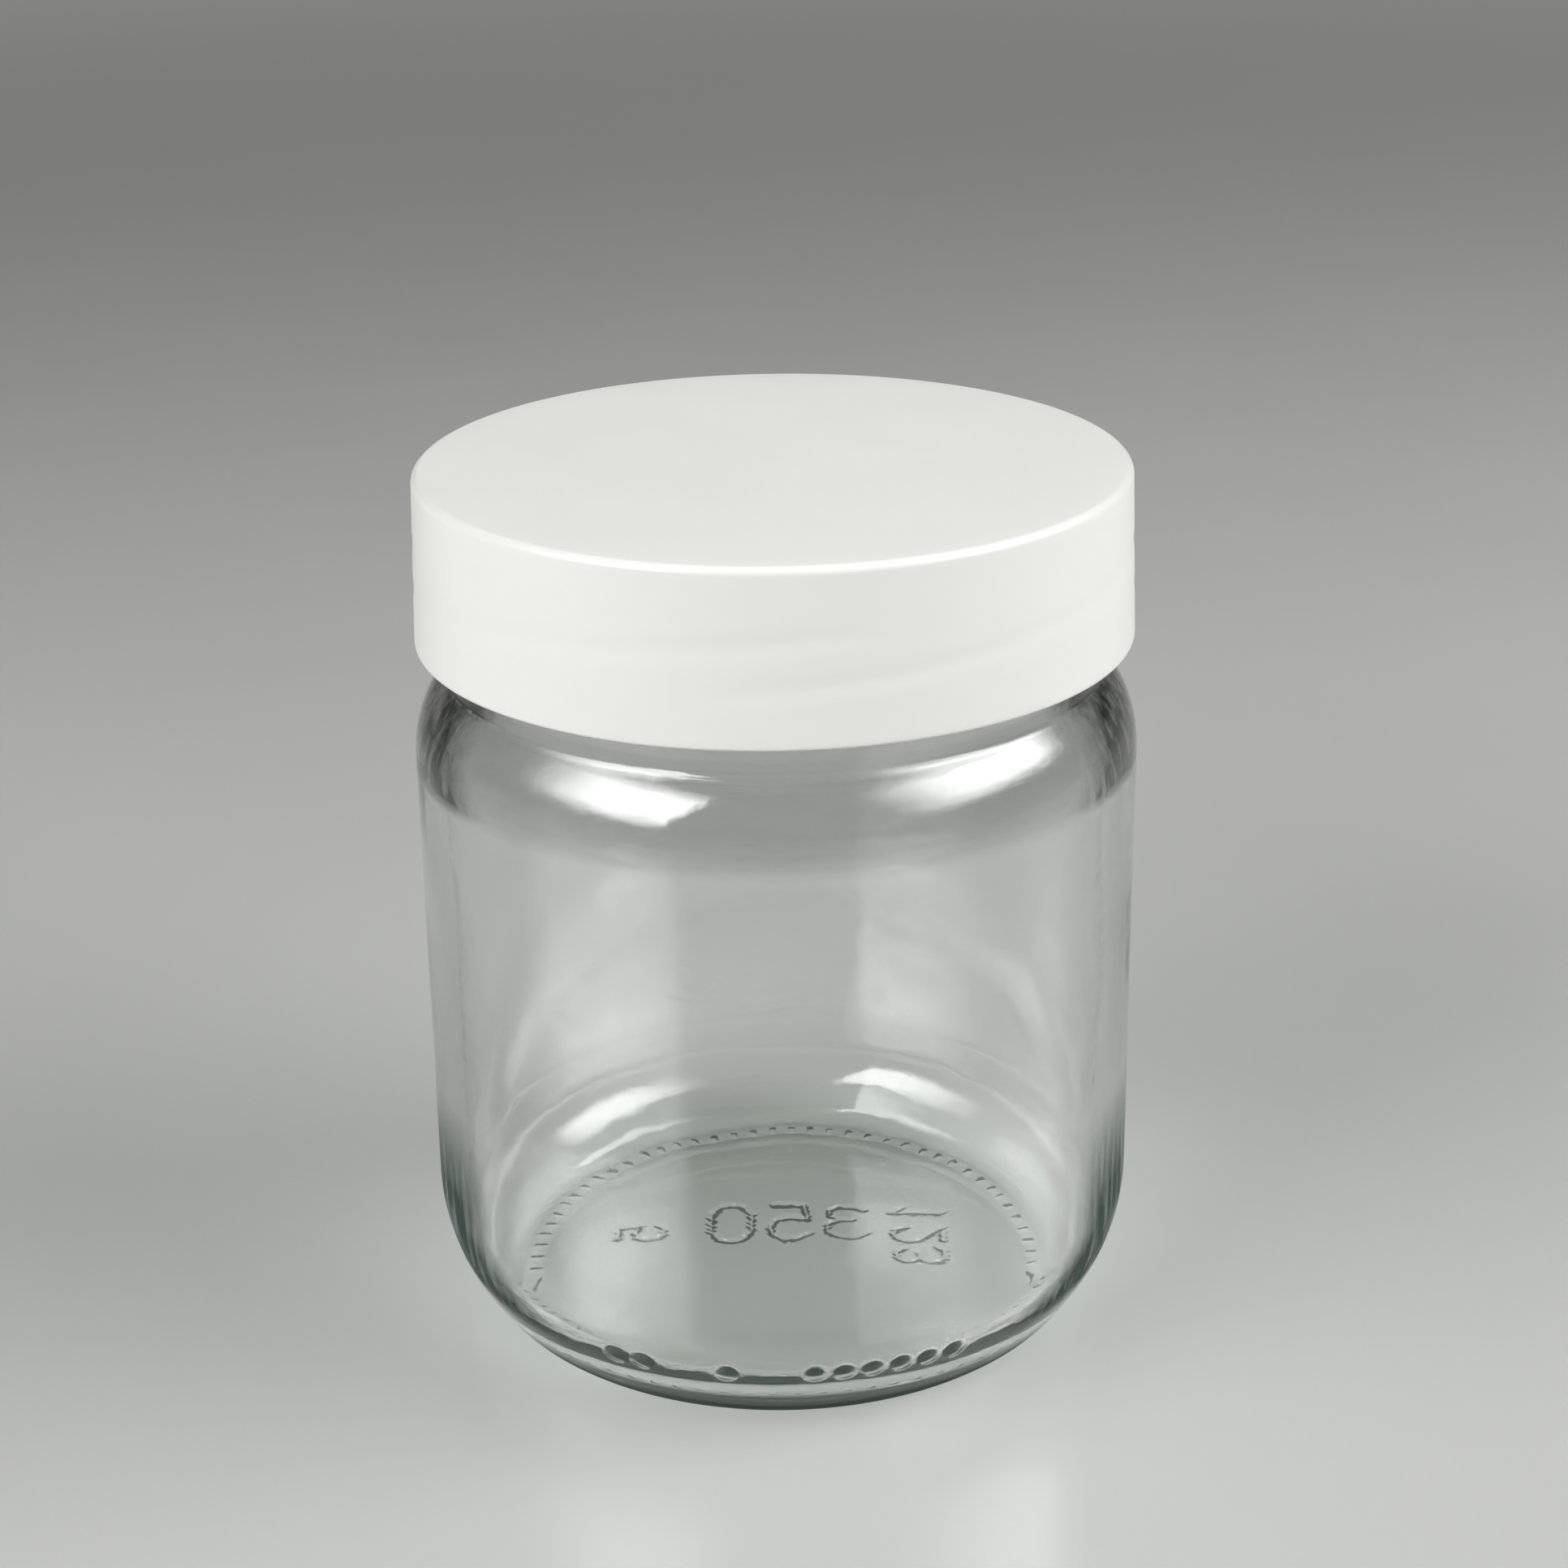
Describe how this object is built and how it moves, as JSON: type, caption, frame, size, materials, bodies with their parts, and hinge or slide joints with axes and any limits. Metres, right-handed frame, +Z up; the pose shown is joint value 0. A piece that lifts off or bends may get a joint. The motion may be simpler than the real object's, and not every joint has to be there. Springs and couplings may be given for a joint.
{
  "type": "glass food jar with screw lid",
  "caption": "Straight-sided wide-mouth clear glass jar with rounded shoulder and heel, closed by a smooth white plastic screw lid over a foam seal.",
  "frame": {"origin": "on the jar's axis, level with the ring that it stands on", "axes": "+Z up along the jar's axis, through the lid's centre; X and Y are level"},
  "size_m": [0.0812, 0.0812, 0.1],
  "materials": {
    "clear_glass": "clear, smooth",
    "foam_liner": "fine closed foam",
    "white_plastic": "smooth moulded, half gloss"
  },
  "bodies": {
    "jar": {"glass_jar": "clear_glass"},
    "liner": {"seal_liner": "foam_liner"},
    "lid": {"lid": "white_plastic"}
  },
  "joints": [
    {"name": "lid_lift", "type": "slide", "parent": "jar", "child": "liner", "axis": [0, 0, 1], "range_m": [0, 0.02]},
    {"name": "lid_turn", "type": "hinge", "parent": "liner", "child": "lid", "pos_m": [0, 0, 0.09], "axis": [0, 0, 1], "range_deg": [0, 360]}
  ],
  "couplings": [
    {"joint": "lid_lift", "follows": "lid_turn", "m_per_rad": 0.003183}
  ]
}
